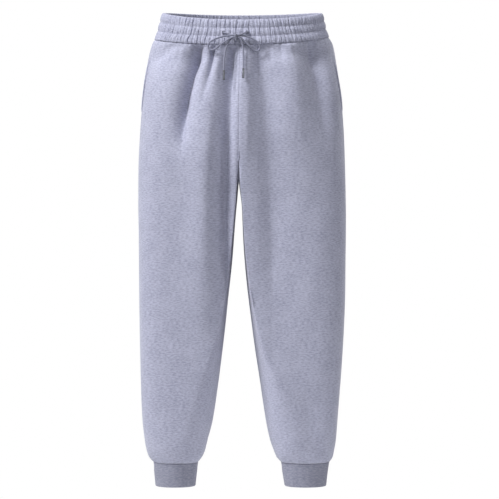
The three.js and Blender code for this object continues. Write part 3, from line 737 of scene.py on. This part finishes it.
def legPanels():
    cloth = marl("heatherFleece")
    for name, side in sides.items():
        for part, face in (("front", 1), ("back", -1)):
            points, uv, _ = panelPoints(side, face, *(round(n * fine) for n in panelLook[part]))
            piece = gridMesh(part + name.title(), points, uv=uv)
            outside(piece, side, face)
            wall = piece.modifiers.new("thickness", "SOLIDIFY")
            wall.thickness, wall.offset = panelLook["thick"] * mm, -1
            dress(piece, cloth, "fleece", f"{part}_{name}")
            print(part, name, "panel")
    return cloth


def outside(piece, side, face):  # the middle of a panel looks away from the leg's own axis
    mesh = piece.data
    middle = mesh.polygons[len(mesh.polygons) // 2]
    if middle.normal.y * -face < 0:
        mesh.flip_normals()


fleece = legPanels()


bandLook = {
    "gathers": 118, "perGather": 10, "outerRows": 36, "innerRows": 12,
    "ridge": 3.3, "fine": 1.2, "puff": 1.7, "foldRound": 2.4, "girth": 1.02,  # girth in metres
}


def bandSurface(around, share, puff, ripple, inset):
    turn = around * 2 * math.pi
    own = np.arcsin(np.sin(turn))
    out = np.zeros(np.broadcast(around, share).shape + (3,))
    for side in (-1, 1):
        z = mix(waistSeam(side, own) + seamGap / 2, waistTop(own), share)
        here = (np.cos(turn) >= 0) if side > 0 else (np.cos(turn) < 0)
        out = np.where(here[..., None], hipPoint(side, own + 0 * z, z), out)
    along = np.gradient(out, axis=1)
    along[:, 0], along[:, -1] = out[:, 1] - out[:, -1], out[:, 0] - out[:, -2]
    normal = np.stack([-along[..., 1], along[..., 0], 0 * along[..., 0]], -1)
    normal *= np.sign(np.sum(normal * out, axis=-1))[..., None]
    normal /= np.linalg.norm(normal, axis=-1)[..., None]
    return out + normal * (puff + ripple - inset)[..., None], normal


def bandProfile():  # outside, fold, inside: share of the height, inset, strength of the gathers
    outer = [(k / bandLook["outerRows"], 0.0, 1.0) for k in range(bandLook["outerRows"] + 1)]
    rise = bandLook["foldRound"] / waist["height"]
    thick = waist["inside"]
    fold = [(1 + rise * math.sin(a) * 0.35, thick / 2 * (1 - math.cos(a)), 0.8)
            for a in np.linspace(0, math.pi, 9)[1:-1]]
    inner = [(1 - k / bandLook["innerRows"], thick, 0.45) for k in range(bandLook["innerRows"] + 1)]
    foot = [(0.0, thick * (1 - t), 0.5) for t in (0.33, 0.66)]
    return outer + fold + inner + foot


def bandHeights(around, share, strength):
    look = bandLook
    channels = np.abs(np.sin(3 * math.pi * np.clip(share, 0, 1)))  # three, parted by two stitch rows
    puff = 0.5 + look["puff"] * channels ** 0.7 * (strength > 0.9)
    slip = 0.55 * wrinkle(around * 60, share * 4, 0.7) + 0.35 * wrinkle(around * 170, share * 9, 2.0)
    main = np.abs(np.sin(math.pi * around * look["gathers"] + slip))
    crease = 1 - (1 - main) ** 3
    row = np.floor(share * 3 + 0.001)
    small = np.abs(np.sin(math.pi * around * look["gathers"] * 2.5 + 2.2 * slip + 3 * row))
    uneven = 1 + 0.35 * wrinkle(around * 75, np.floor(np.clip(share, 0, 0.999) * 3) * 2.1, 1.1)
    ripple = look["ridge"] * uneven * (crease - 0.75) * (0.55 + 0.45 * channels)
    return puff, (ripple + look["fine"] * (small - 0.6)) * strength


def sewWaistband():
    profile = np.array(bandProfile())
    count = bandLook["gathers"] * bandLook["perGather"]
    around = (np.arange(count) / count)[None, :] + 0 * profile[:, :1]
    share, inset, strength = (profile[:, k:k + 1] + 0 * around for k in range(3))
    puff, ripple = bandHeights(around, share, strength)
    points, _ = bandSurface(around, share, puff, ripple, inset)
    points[..., 2] += 0.6 * ripple * smooth(share) - 0.5 * (1 - share) ** 4 * ripple  # uneven edges
    closed = np.arange(count + 1) / count * bandLook["girth"]
    steps = np.hypot(np.diff(profile[:, 0]) * waist["height"], np.diff(profile[:, 1]))
    run = np.cumsum([0, *steps, 2])
    uv = np.stack(np.meshgrid(closed, run * mm), -1)
    piece = gridMesh("waistbandCloth", points * mm, closed=(True, True), uv=uv)
    dress(piece, marl("gatheredFleece", 0.97), "waistband", "waistband")
    bm = bmesh.new()
    for height in (1 / 3, 2 / 3):
        flat = np.linspace(0, 1, count + 1)[None, :]
        level = 0 * flat + height
        puff, ripple = bandHeights(flat, level, 1.0 + 0 * flat)
        line, outward = bandSurface(flat, level, puff, ripple, 0 * flat)
        stitchRow(bm, line[0] * mm, outward[0], stitchLook)
    stitches = makePiece("waistbandStitches", bm)
    dress(stitches, thread("seamThread", (0.3, 0.31, 0.4)), "waistband")
    print("waistband and its stitch rows")


sewWaistband()


cuffLook = {
    "ribs": 104, "perRib": 6, "rows": 22, "relief": 0.45, "hemRound": 1.4, "puff": 0.6,
    "girth": 0.27,  # metres
}


def cuffPoint(side, around, z, inset):
    turn = around * 2 * math.pi
    own = np.where(turn > math.pi, turn - 2 * math.pi, turn)
    point = anklePoint(side, own, z)
    centre = (anklePoint(side, 0 * own, z) + anklePoint(side, 0 * own + math.pi, z)) / 2
    spoke = point - centre
    spoke /= np.linalg.norm(spoke, axis=-1)[..., None]
    return point - spoke * inset[..., None], spoke


def knitCuffs():
    # the cuffs' marl is the fleece's at 0.65: painted shade, for the cuffs that hang lowest, under the
    # leg's overhang
    rib = marl("shadedRibKnit", 0.65)
    look = cuffLook
    top, hem, thick = cuff["top"] - seamGap / 2, cuff["hem"], cuff["thick"]
    outer = [(mix(top, hem + look["hemRound"], t), look["puff"] * math.exp(-t * look["rows"] / 2.0), 1.0)
             for t in np.linspace(0, 1, look["rows"] + 1)]
    turned = [(hem + look["hemRound"] * (1 - math.sin(a)), thick / 2 * (1 - math.cos(a)), 0.7)
              for a in np.linspace(0, math.pi, 8)[1:-1]]
    inner = [(mix(hem + look["hemRound"], top, t), thick, 0.6) for t in np.linspace(0, 1, 9)]
    foot = [(top, thick * (1 - t), 0.4) for t in (0.33, 0.66)]
    profile = np.array(outer + turned + inner + foot)
    count = look["ribs"] * look["perRib"]
    for name, side in sides.items():
        around = (np.arange(count) / count)[None, :] + 0 * profile[:, :1]
        z, inset, strength = (profile[:, k:k + 1] + 0 * around for k in range(3))
        sway = 0.25 * wrinkle(around * 40, z / 20, side)
        rounded = np.abs(np.sin(math.pi * around * look["ribs"] + sway))
        soft = 0.5 * wrinkle(around * 9, z / 30, side * 2.0) * (strength > 0.9)
        sunk = look["relief"] * strength * (1 - rounded) - soft * 0.5
        points, _ = cuffPoint(side, around, z, inset + sunk)
        steps = np.hypot(np.diff(profile[:, 0]), np.diff(profile[:, 1]))
        run = np.cumsum([0, *steps, 1]) * mm
        uv = np.stack(np.meshgrid(np.arange(count + 1) / count * look["girth"], run), -1)
        piece = gridMesh("cuff" + name.title(), points * mm, closed=(True, True), uv=uv)
        dress(piece, rib, "rib", "cuff_" + name)
        print("cuff", name)


knitCuffs()


tackLook = dict(stitchLook, length=6.6 * mm, gap=0.2 * mm)
pocketLook = {
    "stitchIn": 7, "facingColumns": 16, "facingRows": 60, "facingPast": 12, "below": 3.1, "thick": 1.2,
    "toFront": 0.12, "toBack": 0.06,  # how far the facing reaches, as shares of a panel's width
}


def sewPockets():
    look = pocketLook
    threadFinish = thread("pocketThread", (0.27, 0.28, 0.37))
    for name, side in sides.items():
        rows, past = look["facingRows"], look["facingPast"]
        z = np.linspace(pocket["top"] + past, pocket["bottom"] - past, rows + 1)[:, None]
        reach = np.linspace(-1, 1, look["facingColumns"] + 1)[None, :]
        toFront, toBack = (look[k] + 0 * z for k in ("toFront", "toBack"))
        front = plainCloth(side, 1, np.maximum(reach, 0) * toFront, z + 0 * reach)
        back = plainCloth(side, -1, np.maximum(-reach, 0) * toBack, z + 0 * reach)
        point = np.where((reach >= 0)[..., None], front, back)
        normal = np.cross(np.gradient(point, axis=1), np.gradient(point, axis=0)) * side
        normal /= np.linalg.norm(normal, axis=-1)[..., None]
        fold = np.maximum(troughs(folds, 1, point[..., 0], z + 0 * reach), 0) * (reach > 0)
        point = point - normal * (look["below"] + fold)[..., None]
        uv = np.stack([arcLengths(point), z + 0 * reach], -1) * mm
        piece = gridMesh("pocketFacing" + name.title(), point * mm, uv=uv)
        if piece.data.polygons[rows * 4].normal.x * side < 0:
            piece.data.flip_normals()
        wall = piece.modifiers.new("thickness", "SOLIDIFY")
        wall.thickness, wall.offset = look["thick"] * mm, -1
        dress(piece, fleece, "fleece", "pocket_facing_" + name)

        columns, panelRows = (round(n * fine) for n in panelLook["front"])
        points, _, normals = panelPoints(side, 1, columns, panelRows)
        arc = arcLengths(points / mm)
        bm = bmesh.new()
        line, outward = [], []
        for j in range(len(points)):
            at = [np.interp(look["stitchIn"], arc[j], points[j, :, axis]) for axis in range(3)]
            if pocket["bottom"] * mm <= at[2] <= pocket["top"] * mm:
                line.append(at)
                outward.append(normals[j, 3])
        stitchRow(bm, np.array(line), np.array(outward), stitchLook)
        for end in (0, -1):  # bar tacks across the ends of the opening
            j = int(np.argmin(np.abs(points[:, 0, 2] - line[end][2])))
            bar = np.array([[np.interp(d, arc[j], points[j, :, axis]) for axis in range(3)]
                            for d in np.linspace(0.5, look["stitchIn"] + 1, 6)])
            for shift in (-0.5, 0, 0.5):
                stitchRow(bm, bar + np.array((0, 0, shift * mm)), np.array([normals[j, 3]] * 6), tackLook)
        dress(makePiece("pocketStitches" + name.title(), bm), threadFinish, "fleece")
        print("pocket", name)


sewPockets()


def layFloor():
    bm = bmesh.new()
    bmesh.ops.create_circle(bm, cap_ends=True, segments=96, radius=studio["floorRadius"])
    low = cuff["hem"] * mm - studio["floorDrop"]
    bmesh.ops.translate(bm, verts=bm.verts, vec=(0, 0, low))
    floor = makePiece("floor", bm, smoothFaces=False)
    floor.data.materials.append(palePaint("paleFloor"))


layFloor()
